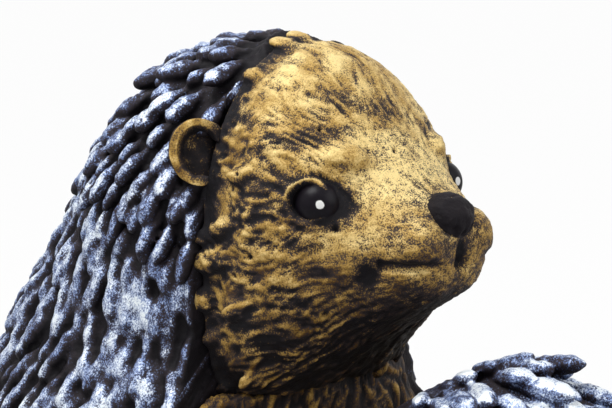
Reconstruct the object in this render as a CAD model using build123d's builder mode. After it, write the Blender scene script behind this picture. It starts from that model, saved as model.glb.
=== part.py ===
from build123d import *
from math import acos, ceil, copysign, cos, pi, radians, sin, sqrt
import os

# A cast garden figurine: a hedgehog mother sits upright and her young one leans on her chest.
# She looks along -Y, her young one looks back at her along +Y, and +Z is up. The origin lies
# on the ground under the middle of her body. Both are hollow castings glued at a seam plane
# between the quilled coat and the smooth front, with separate ears, eyes, noses, arms and feet.

glue_gap = 0.2
seat_gap = 0.5
wall = 8.0
overrun = 10.0

# Mother
seam_forward = 38.0
crown_height = 198.0
neck_height = 100.0
row_turn_height = 110.0
row_turn_ahead = 82.0
coat_reach = 132.0
coat_half_width = 77.0
quill_step = 12.0
quill_width = 7.0
quill_relief = 4.2
head_depth = 60.0
head_half_width = 39.5
chest_depth = 26.0
chest_half_width = 68.0
eye_radius = 6.5
nose_radius = 7.2
brow_length = 17.0
brow_radius = 4.5
pad_radius = 8.0
ear_height = 25.0
ear_width = 20.0
ear_depth = 10.0
ear_wall = 3.5
mouth_radius = 1.5
floor_thickness = 8.0
arm_radius = 16.0
paw_radius = 9.0
foot_length = 58.0
foot_width = 26.0
foot_height = 20.0
toe_radius = 6.0

# Young one
young_seam_ahead = 46.0
young_crown_height = 94.0
young_neck_height = 56.0
young_row_turn_height = 62.0
young_row_turn_ahead = 36.0
young_coat_reach = 76.0
young_coat_half_width = 45.0
young_quill_step = 9.0
young_quill_width = 7.0
young_quill_relief = 2.8
young_head_depth = 31.0
young_head_half_width = 30.0
young_chest_depth = 24.0
young_chest_half_width = 39.0
young_eye_radius = 3.6
young_nose_radius = 3.8
young_brow_length = 10.0
young_brow_radius = 2.6
young_pad_radius = 4.4
young_ear_height = 14.0
young_ear_width = 11.0
young_ear_depth = 6.0
young_ear_wall = 2.2
young_mouth_radius = 0.9
young_wall = 5.0
young_arm_radius = 8.5
young_paw_radius = 5.5
young_foot_length = 26.0
young_foot_width = 15.0
young_foot_height = 11.0
young_toe_radius = 3.4

# Rows of quills: tilt in degrees from upright, then shares of the row turn height, of the coat
# reach (row and bulge) and of the coat half width. The first rows cover the crown.
crown_row_shares = [
    (44, 1.00, 0.038, 0.000, 0.12), (49, 1.00, 0.170, 0.015, 0.34), (55, 1.00, 0.333, 0.045, 0.43),
    (62, 1.00, 0.464, 0.083, 0.51), (70, 1.00, 0.576, 0.129, 0.56)]
back_row_shares = [
    (70, 1.00, 0.576, 0.129, 0.56), (80, 1.00, 0.690, 0.170, 0.565), (90, 1.00, 0.886, 0.240, 0.60),
    (90, 0.82, 0.970, 0.285, 0.71), (90, 0.64, 1.000, 0.311, 0.86), (90, 0.36, 1.000, 0.326, 1.00),
    (90, 0.14, 0.962, 0.326, 0.99), (90, 0.00, 0.909, 0.326, 0.91)]
young_crown_row_shares = [
    (44, 1.00, 0.055, 0.000, 0.16), (47, 1.00, 0.290, 0.013, 0.42), (52, 1.00, 0.530, 0.039, 0.60),
    (60, 1.00, 0.740, 0.079, 0.75)]
young_back_row_shares = [
    (60, 1.00, 0.740, 0.079, 0.75), (70, 1.00, 0.900, 0.132, 0.87), (80, 1.00, 0.950, 0.184, 0.93),
    (90, 1.00, 0.974, 0.224, 0.98), (90, 0.65, 1.000, 0.250, 1.00), (90, 0.32, 0.974, 0.250, 0.98),
    (90, 0.00, 0.895, 0.250, 0.87)]

# Quill crests along a column: where the tip is in a step, the height at the root and in a groove,
# and how quickly they flatten towards the seam
quill_tip_share = 0.84
quill_root_share = 0.25
quill_groove_share = 0.0
seam_taper = 0.3

# Head sections from the seam to the muzzle: shares of the head depth, of the crown height (top
# and underside) and of the head half width, and how square the lower half is.
head_shares = [
    (0.00, 1.000, 0.465, 1.00, 4.0), (0.18, 0.994, 0.485, 1.00, 3.4), (0.35, 0.966, 0.525, 0.95, 2.8),
    (0.515, 0.914, 0.571, 0.81, 2.4), (0.67, 0.856, 0.611, 0.63, 2.3), (0.81, 0.818, 0.640, 0.50, 2.3),
    (0.91, 0.792, 0.662, 0.42, 2.3), (0.97, 0.768, 0.684, 0.33, 2.2), (1.00, 0.750, 0.703, 0.20, 2.0)]
young_head_shares = [
    (0.00, 1.000, 0.540, 1.00, 4.0), (0.18, 0.988, 0.560, 0.99, 3.4), (0.35, 0.955, 0.590, 0.94, 2.8),
    (0.515, 0.905, 0.620, 0.80, 2.4), (0.67, 0.855, 0.645, 0.62, 2.3), (0.81, 0.820, 0.665, 0.50, 2.3),
    (0.91, 0.797, 0.685, 0.42, 2.3), (0.97, 0.775, 0.702, 0.33, 2.2), (1.00, 0.757, 0.717, 0.20, 2.0)]

# Chest sections from the ground to the neck: shares of the neck height, half width and depth.
chest_shares = [
    (0.00, 0.93, 0.92), (0.20, 1.00, 1.00), (0.40, 0.97, 0.93), (0.60, 0.88, 0.72),
    (0.80, 0.74, 0.50), (1.00, 0.60, 0.46)]

ridge_samples = 40
outline_points = 24
inner_corners = 16
hollow_sections = 3

# Arm bones: shares of the chest half width, of the way to the far side of the young one and of
# the neck height, and how much of the swell from paw to shoulder each section has.
arm_bone_shares = [
    (0.64, -0.03, 0.66), (0.84, 0.12, 0.62), (0.97, 0.34, 0.58), (0.91, 0.57, 0.54), (0.76, 0.76, 0.56)]
arm_radius_shares = (0.80, 1.00, 0.62, 0.25, 0.00)
young_arm_bone_shares = [(0.70, -0.10, 0.88), (0.92, 0.08, 0.80), (0.98, 0.28, 0.74), (0.92, 0.46, 0.76)]
young_arm_radius_shares = (0.90, 1.00, 0.45, 0.00)
paw_swell_share = 1.12
toe_spread_share = 0.62
toe_reach_share = 0.75
toe_place_shares = (-1.0, -0.35, 0.35, 1.0)
toe_back_share = 0.5
toe_lift_share = 0.55
foot_out_share = 0.93
foot_ahead_share = 0.06
young_foot_out_share = 0.98
young_foot_back_share = 0.08

# Places on the head: shares of its depth and of the crown height
eye_ahead_share = 0.515
eye_height_share = 0.793
eye_sunk_share = 0.85
nose_ahead_share = 0.908
nose_height_share = 0.773
brow_ahead_share = 0.54
brow_height_share = 0.850
brow_sunk_share = 0.85
brow_turn = 37
pad_ahead_share = 0.875
pad_height_share = 0.742
pad_out_share = 0.25
mouth_ahead_share = 0.70
mouth_height_share = 0.716
mouth_bend_share = 0.34
mouth_sweep = 150
mouth_turn = 195
ear_level_share = 0.850
ear_out_share = 0.36
young_ear_out_share = 0.70
ear_ahead_share = 0.10
young_ear_ahead_share = 0.70
ear_upright = (0, 0.25, 1)
ear_facing = (0.62, -0.76, 0.15)

# Ear sections from the rim to the root, as shares of its depth and of its rim size
ear_section_shares = [(0.0, 1.00), (0.45, 0.86), (0.85, 0.56), (1.1, 0.36)]
ear_bottom_share = 0.72
ear_round_share = 0.3


def blend(rows, where):
    """Values between the rows, joined by a smooth curve."""
    first = min(int(where), len(rows) - 2)
    share = where - first
    before, start, end, after = (rows[max(0, min(len(rows) - 1, first + k))] for k in (-1, 0, 1, 2))
    return [
        b + share * (c - a + share * (2 * a - 5 * b + 4 * c - d + share * (3 * (b - c) + d - a))) / 2
        for a, b, c, d in zip(before, start, end, after)]


class Coat:
    """Surface of quill rows behind the seam plane y = 0, each row an arch in its own plane."""

    def __init__(self, shares, turn_height, turn_ahead, reach, half_width):
        self.rows = [
            (tilt, turn_height * height, reach * far, reach * bulge, half_width * width)
            for tilt, height, far, bulge, width in shares]
        self.ahead = turn_ahead

    def point(self, where, across, lift):
        tilt, height, far, bulge, half_width = blend(self.rows, where)
        radius = far - bulge + lift
        end_angle = acos(-bulge / radius)
        start = self.ahead / sin(radians(tilt)) + bulge
        along = start + radius * cos(end_angle * across)
        x = (half_width + lift) * sin(end_angle * across)
        return (x, along * sin(radians(tilt)) - self.ahead, height + along * cos(radians(tilt)))

    def seam_point(self, where, across, lift):
        x, y, z = self.point(where, across, lift)
        return (x, 0, z)

    def arch(self, where, lifts):
        count = len(lifts) - 1
        middle = [self.point(where, 2 * k / count - 1, lifts[k]) for k in range(1, count)]
        return [self.seam_point(where, -1, lifts[0]), *middle, self.seam_point(where, 1, lifts[-1])]

    def marks(self, step):
        """Places of the row starts and quill tips, evenly spaced along the ridge."""
        samples = ridge_samples * (len(self.rows) - 1)
        places = [(len(self.rows) - 1) * k / samples for k in range(samples + 1)]
        ridge = [Vector(*self.point(place, 0, 0)) for place in places]
        lengths = [0]
        for here, there in zip(ridge, ridge[1:]):
            lengths.append(lengths[-1] + (there - here).length)
        steps = max(2, round(lengths[-1] / step))

        def place(count):
            target = lengths[-1] * count / steps
            upper = next((k for k, length in enumerate(lengths) if length >= target), samples)
            return places[upper]

        starts = [(place(k), k) for k in range(steps)]
        tips = [(place(k + quill_tip_share), k + quill_tip_share) for k in range(steps)]
        return sorted(starts + tips) + [(places[-1], steps)]

    def ridge_half_length(self):
        widest = max(self.rows, key=lambda row: row[4])
        return pi / 2 * (widest[4] + widest[2]) / 2


def quill_height(count, column, columns):
    """Share of the relief at one corner: crests rise to quill tips, with grooves between them."""
    if column % 2:
        return quill_groove_share
    phase = (count + column // 2 % 2) / 2 % 1
    top_phase = (1 + quill_tip_share) / 2
    rise = quill_root_share + (1 - quill_root_share) * phase / top_phase
    height = rise if phase <= top_phase else 1 - (phase - top_phase) / (1 - top_phase)
    return height * abs(sin(pi * column / columns)) ** seam_taper


def strip(near, far):
    """Triangles between two arches of as many points."""
    faces = []
    for k in range(len(near) - 1):
        faces.append(Face(Wire.make_polygon([near[k], near[k + 1], far[k + 1]])))
        faces.append(Face(Wire.make_polygon([near[k], far[k + 1], far[k]])))
    return faces


def closed_solid(outer, inner):
    """Solid between an outer and an inner skin of arches that end on the seam plane."""
    faces = [face for near, far in zip(outer, outer[1:]) for face in strip(near, far)]
    faces += [face for near, far in zip(inner, inner[1:]) for face in strip(near, far)]
    for outside, inside in ((outer[0], inner[0]), (outer[-1], inner[-1])):
        faces.append(Face(Wire.make_polygon([*outside, *reversed(inside)])))
    for side in (0, -1):
        outside = [arch[side] for arch in outer]
        inside = [arch[side] for arch in inner]
        faces.append(Face(Wire.make_polygon([*outside, *reversed(inside)])))
    return Solid(Shell(faces))


def quilled_shell(coat, thickness, step, width, relief):
    columns = 4 * ceil(coat.ridge_half_length() / width)
    outer = []
    for where, count in coat.marks(step):
        lifts = [relief * quill_height(count, k, columns) for k in range(columns + 1)]
        outer.append(coat.arch(where, lifts))
    inner = []
    for where in range(len(coat.rows)):
        tilt, height, far, bulge, half_width = coat.rows[where]
        inset = min(thickness, half_width / 2, (far - bulge) / 2)
        inner.append(coat.arch(where, [-inset] * (inner_corners + 1)))
    return closed_solid(outer, inner)


def coat_form(coat, lift):
    """Plain form of the coat, raised by the lift, that other pieces are cut by."""
    sections = []
    for where in range(len(coat.rows)):
        arch = coat.arch(where, [lift] * (inner_corners + 1))
        sections.append(Face(Wire([Edge.make_spline(arch), Edge.make_line(arch[-1], arch[0])])))
    return Solid.make_loft([section.outer_wire() for section in sections])


def head_outline(top, underside, half_width, squareness):
    """Points round one head section, in its own plane."""
    middle = (top + underside) / 2
    half_height = (top - underside) / 2
    points = []
    for k in range(outline_points):
        angle = 2 * pi * k / outline_points
        power = 1 if cos(angle) > 0 else 2 / squareness
        x = half_width * copysign(abs(sin(angle)) ** power, sin(angle))
        points.append((x, middle + half_height * copysign(abs(cos(angle)) ** power, cos(angle))))
    return points


class Head:
    """Smooth front of the head, ahead of the seam plane y = 0."""

    def __init__(self, shares, depth, height, neck, half_width):
        self.sections = [
            (depth * ahead, height * top, height * underside, half_width * width, squareness)
            for ahead, top, underside, width, squareness in shares]
        self.depth = depth
        self.height = height
        self.neck = neck
        self.half_width = half_width

    def side(self, ahead_share, level):
        """Half width of the head at a depth and a height."""
        places = [section[0] / self.depth for section in self.sections]
        after = next(k for k, place in enumerate(places) if place >= ahead_share)
        first = max(0, after - 1)
        share = (ahead_share - places[first]) / (places[first + 1] - places[first])
        _, top, underside, half_width, squareness = blend(self.sections, first + share)
        rise = (level - (top + underside) / 2) / ((top - underside) / 2)
        if rise > 0:
            return half_width * sqrt(1 - rise ** 2)
        return half_width * (1 - abs(rise) ** squareness) ** (1 / squareness)

    def form(self, grow):
        with BuildPart() as form:
            for ahead, top, underside, half_width, squareness in self.sections:
                shift = grow if ahead == 0 else -grow
                origin = (0, shift - glue_gap - ahead, 0)
                plane = Plane(origin=origin, x_dir=(1, 0, 0), z_dir=(0, -1, 0))
                points = head_outline(top + grow, underside - grow, half_width + grow, squareness)
                with BuildSketch(plane):
                    with BuildLine():
                        Spline(*points, periodic=True)
                    make_face()
            loft()
        return form.part

    def hollow(self, thickness):
        with BuildPart() as hollow:
            for ahead, top, underside, half_width, squareness in self.sections[:hollow_sections]:
                back = glue_gap if ahead == 0 else -ahead
                plane = Plane(origin=(0, back, 0), x_dir=(1, 0, 0), z_dir=(0, -1, 0))
                lowest = max(underside, self.neck) + thickness
                points = head_outline(top - thickness, lowest, half_width - thickness, squareness)
                with BuildSketch(plane):
                    with BuildLine():
                        Spline(*points, periodic=True)
                    make_face()
            loft()
        return hollow.part


def ellipsoid(half_length, radius):
    """Solid of revolution about X."""
    with BuildPart() as form:
        with BuildSketch():
            with BuildLine():
                EllipticalCenterArc((0, 0), half_length, radius, 0, arc_size=180)
                Line((-half_length, 0), (half_length, 0))
            make_face()
        revolve(axis=Axis.X)
    return form.part


def chest_form(shares, height, half_width, depth, grow):
    """Front of the body, a stack of half ellipses ahead of the seam plane."""
    with BuildPart() as form:
        for level, width, out in shares:
            with BuildSketch(Plane.XY.offset(height * level)):
                with BuildLine():
                    across = half_width * width + grow
                    ahead = depth * out + 2 * grow
                    arc = EllipticalCenterArc((0, grow - glue_gap), across, ahead, 180, arc_size=180)
                    Line(arc @ 1, arc @ 0)
                make_face()
        loft()
    return form.part


def chest_hollow(shares, height, half_width, depth, thickness):
    with BuildPart() as hollow:
        for level, width, out in shares:
            base = -overrun if level == 0 else (height - thickness) * level
            with BuildSketch(Plane.XY.offset(base)):
                with BuildLine():
                    across = half_width * width - thickness
                    arc = EllipticalCenterArc(
                        (0, glue_gap), across, depth * out - thickness, 180, arc_size=180)
                    Line(arc @ 1, arc @ 0)
                make_face()
        loft()
    return hollow.part


def limb_form(points, radii, toe_size):
    """Limb of round sections along its bones, with a paw of toes at its end."""
    with BuildPart() as limb:
        bones = [Vector(*point) for point in points]
        for k, radius in enumerate(radii):
            before = bones[max(0, k - 1)]
            after = bones[min(len(bones) - 1, k + 1)]
            with BuildSketch(Plane(origin=bones[k], z_dir=after - before)):
                Circle(radius)
        loft()
        end_plane = Plane(origin=bones[-1], x_dir=(0, 0, 1), z_dir=bones[-1] - bones[-2])
        with Locations(end_plane):
            Sphere(radii[-1] * paw_swell_share)
        spread = radii[-1] * toe_spread_share
        with Locations(end_plane.offset(radii[-1] * toe_reach_share)):
            with Locations(*[(spread * place, 0) for place in toe_place_shares]):
                Sphere(toe_size)
    return limb.part


def foot_form(length, width, height, toe_size):
    """Foot pointing along -Y with its heel at the origin, flat on the ground."""
    with BuildPart() as foot:
        with Locations(Location((0, -length / 2, height - width / 2), (0, 0, 90))):
            add(ellipsoid(length / 2, width / 2))
        spread = (width - toe_size) / 2
        for place in toe_place_shares:
            back = toe_size * abs(place) * toe_back_share
            with Locations((spread * place, toe_size - length + back, toe_size * toe_lift_share)):
                Sphere(toe_size)
        split(bisect_by=Plane.XY, keep=Keep.TOP)
    return foot.part


def ear_form(height, width, depth, thickness):
    """Cup opening along +Z with its rim at the origin."""
    with BuildPart() as ear:
        for level, size in ear_section_shares:
            with BuildSketch(Plane.XY.offset(-depth * level)):
                Ellipse(height / 2 * size, width / 2 * size)
        loft()
        fillet(ear.faces().sort_by(Axis.Z)[-1].edges(), thickness * ear_round_share)
        with BuildSketch(Plane.XY.offset(thickness - depth)):
            Ellipse(height / 2 * ear_bottom_share - thickness, width / 2 * ear_bottom_share - thickness)
        with BuildSketch(Plane.XY.offset(thickness)):
            Ellipse(height / 2 - thickness / 2, width / 2 - thickness / 2)
        loft(mode=Mode.SUBTRACT)
    return ear.part


def largest(part):
    return part.solids().sort_by(SortBy.VOLUME)[-1]


def ball_at(x, y, z, radius, mode=Mode.ADD):
    """Ball whose seam faces the middle of the head."""
    with Locations(Location((x, y, z), (0, 0, 180 if x > 0 else 0))):
        Sphere(radius, mode=mode)


def keep(name, form, place, cutters=()):
    """Place one piece, cut it clear of its neighbours and write its file."""
    with BuildPart() as piece:
        add(form, clean=False)
        for cutter in cutters:
            add(cutter, mode=Mode.SUBTRACT)
    with BuildPart() as placed:
        with Locations(place):
            add(largest(piece.part), clean=False)
    placed.part.label = name
    export_step(placed.part, f"parts/{name}.step")


os.makedirs("parts", exist_ok=True)

mother_place = Location((0, -seam_forward, 0))
young_place = Location((0, -seam_forward - young_seam_ahead, 0), (0, 0, 180))
# The same turn takes the young one's frame to the mother's and back.
facing = Location((0, -young_seam_ahead, 0), (0, 0, 180))

mother_coat_sizes = (row_turn_height, row_turn_ahead, coat_reach, coat_half_width)
mother_crown = Coat(crown_row_shares, *mother_coat_sizes)
mother_back = Coat(back_row_shares, *mother_coat_sizes)
mother_head = Head(head_shares, head_depth, crown_height, neck_height, head_half_width)
mother_chest_sizes = (neck_height - glue_gap, chest_half_width, chest_depth)

young_coat_sizes = (young_row_turn_height, young_row_turn_ahead, young_coat_reach, young_coat_half_width)
young_crown = Coat(young_crown_row_shares, *young_coat_sizes)
young_back = Coat(young_back_row_shares, *young_coat_sizes)
young_head = Head(
    young_head_shares, young_head_depth, young_crown_height, young_neck_height, young_head_half_width)
young_chest_sizes = (young_neck_height - glue_gap, young_chest_half_width, young_chest_depth)

# Neighbours raised by their relief and a gap, for cutting pieces clear of them
mother_clear = {
    "crown": coat_form(mother_crown, quill_relief + seat_gap),
    "back": coat_form(mother_back, quill_relief + seat_gap),
    "head": mother_head.form(seat_gap),
    "chest": chest_form(chest_shares, *mother_chest_sizes, seat_gap),
}
young_clear = {
    "crown": coat_form(young_crown, young_quill_relief + seat_gap),
    "back": coat_form(young_back, young_quill_relief + seat_gap),
    "head": young_head.form(seat_gap),
    "chest": chest_form(chest_shares, *young_chest_sizes, seat_gap),
}
mother_chest_from_young = mother_clear["chest"].moved(facing)
young_back_from_mother = young_clear["back"].moved(facing)

mother_quills = (wall, quill_step, quill_width, quill_relief)
keep("mother_crown_shell", quilled_shell(mother_crown, *mother_quills), mother_place)
keep("mother_back_shell", quilled_shell(mother_back, *mother_quills), mother_place)
young_quills = (young_wall, young_quill_step, young_quill_width, young_quill_relief)
keep("young_crown_shell", quilled_shell(young_crown, *young_quills), young_place)
keep("young_back_shell", quilled_shell(young_back, *young_quills), young_place)


def brows_and_pads(head, brow_sizes, pad):
    """Brows over the eyes and whisker pads beside the nose."""
    length, radius = brow_sizes
    brow_level = head.height * brow_height_share
    brow_side = head.side(brow_ahead_share, brow_level) - radius * brow_sunk_share
    brow = ellipsoid(length / 2, radius)
    with BuildPart() as forms:
        for way in (-1, 1):
            spot = (way * brow_side, -head.depth * brow_ahead_share, brow_level)
            with Locations(Location(spot, (0, 0, 90 - way * brow_turn))):
                add(brow)
            with Locations((
                    way * head.half_width * pad_out_share, -head.depth * pad_ahead_share,
                    head.height * pad_height_share)):
                Sphere(pad)
    return forms.part


def face_pieces(name, head, place, eye, nose, brow_sizes, pad, mouth, thickness, neighbours):
    """Head casting with its sockets, and the eyes and nose that seat in them."""
    eye_level = head.height * eye_height_share
    eye_side = head.side(eye_ahead_share, eye_level) - eye * eye_sunk_share
    eye_ahead = glue_gap + head.depth * eye_ahead_share
    nose_place = Location((0, -head.depth * nose_ahead_share, head.height * nose_height_share))
    mouth_place = Location(
        (0, -head.depth * mouth_ahead_share, head.height * mouth_height_share), (0, 0, mouth_turn))
    with BuildPart() as face:
        add(head.form(0))
        add(brows_and_pads(head, brow_sizes, pad))
        add(head.hollow(thickness), mode=Mode.SUBTRACT)
        split(bisect_by=Plane.XY.offset(head.neck), keep=Keep.TOP)
        for x in (-eye_side, eye_side):
            ball_at(x, -eye_ahead, eye_level, eye + glue_gap, Mode.SUBTRACT)
        with Locations(nose_place):
            Sphere(nose + glue_gap, rotation=(0, 90, 0), mode=Mode.SUBTRACT)
        with Locations(mouth_place):
            Torus(
                head.depth * mouth_bend_share, mouth,
                major_angle=mouth_sweep, align=None, mode=Mode.SUBTRACT)
    keep(f"{name}_face", face.part, place, neighbours)
    for side, x in (("right", -eye_side), ("left", eye_side)):
        with BuildPart() as ball:
            ball_at(x, -eye_ahead, eye_level, eye)
        keep(f"{name}_{side}_eye", ball.part, place)
    with BuildPart() as tip:
        with Locations(nose_place):
            Sphere(nose)
    keep(f"{name}_nose", tip.part, place, neighbours)


def ear_pieces(name, head, place, ear_shares, ear_sizes, neighbours, stops_at_seam=False):
    out_share, ahead_share = ear_shares
    height, width, depth, thickness = ear_sizes
    level = head.height * ear_level_share
    x = head.side(0, level) + depth * out_share
    for side, way in (("right", -1), ("left", 1)):
        plane = Plane(
            origin=(way * x, -depth * ahead_share, level),
            x_dir=ear_upright, z_dir=(way * ear_facing[0], ear_facing[1], ear_facing[2]))
        with BuildPart() as ear:
            with Locations(plane):
                add(ear_form(height, width, depth, thickness))
            if stops_at_seam:
                split(bisect_by=Plane.XZ.offset(glue_gap), keep=Keep.TOP)
        keep(f"{name}_{side}_ear", ear.part, place, neighbours)


def limb_pieces(name, place, arm_points, arm_radii, foot_place, foot_sizes, toe_size, neighbours):
    for side, way in (("right", -1), ("left", 1)):
        points = [(way * x, y, z) for x, y, z in arm_points]
        with BuildPart() as arm:
            add(limb_form(points, arm_radii, toe_size))
        keep(f"{name}_{side}_arm", arm.part, place, neighbours)
        with BuildPart() as foot:
            with Locations((way * foot_place[0], foot_place[1])):
                add(foot_form(*foot_sizes, toe_size))
        keep(f"{name}_{side}_foot", foot.part, place, neighbours)


face_pieces(
    "mother", mother_head, mother_place, eye_radius, nose_radius, (brow_length, brow_radius), pad_radius,
    mouth_radius, wall, [])
face_pieces(
    "young", young_head, young_place, young_eye_radius, young_nose_radius,
    (young_brow_length, young_brow_radius), young_pad_radius, young_mouth_radius, young_wall,
    [mother_chest_from_young])
ear_pieces(
    "mother", mother_head, mother_place, (ear_out_share, ear_ahead_share),
    (ear_height, ear_width, ear_depth, ear_wall), [mother_clear["crown"], mother_clear["head"]])
ear_pieces(
    "young", young_head, young_place, (young_ear_out_share, young_ear_ahead_share),
    (young_ear_height, young_ear_width, young_ear_depth, young_ear_wall), [young_clear["head"]],
    stops_at_seam=True)

with BuildPart() as chest:
    add(chest_form(chest_shares, *mother_chest_sizes, 0))
    add(chest_hollow(chest_shares, *mother_chest_sizes, wall), mode=Mode.SUBTRACT)
keep("mother_chest", chest.part, mother_place)
keep("young_chest", chest_form(chest_shares, *young_chest_sizes, 0), young_place, [mother_chest_from_young])

# Arms: the mother's reach round the young one, the young one's rest on her belly.
young_side = young_coat_half_width + young_quill_relief
arm_points = [
    (chest_half_width * across, -(seam_forward + young_coat_reach) * ahead, neck_height * up)
    for across, ahead, up in arm_bone_shares]
arm_points[-1] = (young_side + paw_radius, arm_points[-1][1], arm_points[-1][2])
arm_radii = [paw_radius + (arm_radius - paw_radius) * share for share in arm_radius_shares]
limb_pieces(
    "mother", mother_place, arm_points, arm_radii,
    (chest_half_width * foot_out_share, -foot_length * foot_ahead_share),
    (foot_length, foot_width, foot_height), toe_radius,
    [mother_clear["chest"], mother_clear["back"], young_back_from_mother])
young_arm_points = [
    (young_chest_half_width * across, -young_seam_ahead * ahead, young_neck_height * up)
    for across, ahead, up in young_arm_bone_shares]
young_arm_radii = [
    young_paw_radius + (young_arm_radius - young_paw_radius) * share for share in young_arm_radius_shares]
limb_pieces(
    "young", young_place, young_arm_points, young_arm_radii,
    (young_chest_half_width * young_foot_out_share, young_foot_length * young_foot_back_share),
    (young_foot_length, young_foot_width, young_foot_height), young_toe_radius,
    [young_clear["chest"], young_clear["back"], mother_chest_from_young])


def floor_piece(name, coat, place, inset, thickness, front):
    """Slab that closes the hollow casting at the ground."""
    with BuildPart() as slab:
        with BuildSketch():
            ends = coat.arch(len(coat.rows) - 1, [-inset] * (inner_corners + 1))
            with BuildLine():
                Polyline(*[(x, y) for x, y, z in ends], close=True)
            make_face()
            if front:
                with BuildLine():
                    arc = EllipticalCenterArc((0, 0), front[0] - inset, front[1] - inset, 180, arc_size=180)
                    Line(arc @ 1, arc @ 0)
                make_face()
        extrude(amount=thickness)
    keep(name, slab.part, place)


_, foot_width_share, foot_depth_share = chest_shares[0]
floor_piece(
    "mother_floor", mother_back, mother_place, wall + glue_gap, floor_thickness,
    (chest_half_width * foot_width_share, chest_depth * foot_depth_share))
floor_piece("young_floor", young_back, young_place, young_wall + glue_gap, floor_thickness, None)
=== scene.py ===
import math
import random

import bmesh
import bpy
import numpy as np
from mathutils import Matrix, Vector, noise
from mathutils.bvhtree import BVHTree
from mathutils.kdtree import KDTree
from numpy.linalg import norm


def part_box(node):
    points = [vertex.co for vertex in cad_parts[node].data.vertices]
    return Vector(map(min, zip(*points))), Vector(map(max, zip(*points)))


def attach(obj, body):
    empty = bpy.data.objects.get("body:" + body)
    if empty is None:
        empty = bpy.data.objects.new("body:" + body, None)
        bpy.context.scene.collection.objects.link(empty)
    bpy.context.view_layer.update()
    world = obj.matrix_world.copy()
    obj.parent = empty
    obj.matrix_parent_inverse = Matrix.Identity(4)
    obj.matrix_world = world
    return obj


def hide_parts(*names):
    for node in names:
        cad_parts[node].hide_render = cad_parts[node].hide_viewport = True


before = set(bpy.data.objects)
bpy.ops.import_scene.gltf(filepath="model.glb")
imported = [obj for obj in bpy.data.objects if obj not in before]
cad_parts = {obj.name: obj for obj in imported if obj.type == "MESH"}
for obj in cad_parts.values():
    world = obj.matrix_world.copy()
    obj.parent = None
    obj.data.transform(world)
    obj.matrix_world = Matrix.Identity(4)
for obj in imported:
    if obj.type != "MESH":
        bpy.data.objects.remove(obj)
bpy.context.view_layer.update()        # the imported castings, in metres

mm = 0.001
print("castings loaded:", len(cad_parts))


def selectOnly(*pieces):
    bpy.ops.object.select_all(action="DESELECT")
    for piece in pieces:
        piece.select_set(True)
    bpy.context.view_layer.objects.active = pieces[-1]


def linked(name, data):
    piece = bpy.data.objects.new(name, data)
    bpy.context.scene.collection.objects.link(piece)
    return piece


def newPiece(name, points, faces):
    mesh = bpy.data.meshes.new(name)
    mesh.from_pydata([tuple(point) for point in points], [], [tuple(face) for face in faces])
    return linked(name, mesh)


def copyOfNode(node, name):
    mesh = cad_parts[node].data.copy()
    mesh.name = name
    mesh.materials.clear()
    shape = bmesh.new()
    shape.from_mesh(mesh)
    bmesh.ops.remove_doubles(shape, verts=shape.verts, dist=0.001 * mm)   # the node's triangles come loose
    shape.to_mesh(mesh)
    shape.free()
    return linked(name, mesh)


def joined(name, pieces):
    selectOnly(*pieces)
    bpy.ops.object.join()
    piece = bpy.context.view_layer.objects.active
    piece.name = name
    piece.data.name = name
    return piece


def outward(piece):
    selectOnly(piece)
    bpy.ops.object.mode_set(mode="EDIT")
    bpy.ops.mesh.select_all(action="SELECT")
    bpy.ops.mesh.normals_make_consistent(inside=False)
    bpy.ops.object.mode_set(mode="OBJECT")


def fused(piece, voxel):
    selectOnly(piece)
    step = piece.modifiers.new("fuse", "REMESH")
    step.mode = "VOXEL"
    step.voxel_size = voxel
    step.use_smooth_shade = True
    bpy.ops.object.modifier_apply(modifier=step.name)
    return piece


def middleOf(node):
    low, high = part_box(node)
    return (np.array(low) + np.array(high)) / 2


def treeOf(*nodes):
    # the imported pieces' triangles, for rays and nearest places
    points, faces = [], []
    for node in nodes:
        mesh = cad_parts[node].data
        mesh.calc_loop_triangles()
        start = len(points)
        points += [tuple(point.co) for point in mesh.vertices]
        faces += [tuple(start + k for k in triangle.vertices) for triangle in mesh.loop_triangles]
    return BVHTree.FromPolygons(points, faces)


def readPoints(piece):
    values = np.empty(len(piece.data.vertices) * 3)
    piece.data.vertices.foreach_get("co", values)
    return values.reshape(-1, 3)


def writePoints(piece, points):
    piece.data.vertices.foreach_set("co", np.ascontiguousarray(points).ravel())
    piece.data.update()


def readNormals(piece):
    values = np.empty(len(piece.data.vertices) * 3)
    piece.data.vertex_normals.foreach_get("vector", values)
    return values.reshape(-1, 3)


def relaxed(piece, points, rounds, pull=0.5):
    links = np.empty(len(piece.data.edges) * 2, dtype=np.int32)
    piece.data.edges.foreach_get("vertices", links)
    near, far = links.reshape(-1, 2).T
    count = len(points)
    share = np.maximum(np.bincount(near, minlength=count) + np.bincount(far, minlength=count), 1)
    for _ in range(rounds):
        middle = np.stack([
            np.bincount(near, points[far, k], count) + np.bincount(far, points[near, k], count)
            for k in range(3)], 1) / share[:, None]
        points = points + (middle - points) * pull
    return points


def raisedBy(piece, rounds):
    # how far each point stands above the form that is left when its detail is smoothed away
    points = readPoints(piece)
    return ((points - relaxed(piece, points, rounds)) * readNormals(piece)).sum(1)


def caught(piece, unit, scales):
    # what a flat brush adds on high places, for each scale its rounds, height and cover
    return sum(raisedBy(piece, rounds) / (height * unit) * cover for rounds, height, cover in scales)


def keepValue(piece, name, values):
    layer = piece.data.attributes.new(name, "FLOAT", "POINT")
    layer.data.foreach_set("value", np.clip(values, 0, 1).astype(np.float32))


def step(low, high, values):
    share = np.clip((values - low) / (high - low), 0, 1)
    return share * share * (3 - 2 * share)


def wave(places):
    return np.array([noise.noise(place) for place in places.tolist()])


def hill(points, centre, sizes):
    return np.exp(-(((points - centre) / sizes) ** 2).sum(1))


def relief(points, forms):
    # hills and hollows added up, each a height, a centre and sizes
    return sum(height * hill(points, centre, sizes) for height, centre, sizes in forms)


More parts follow.
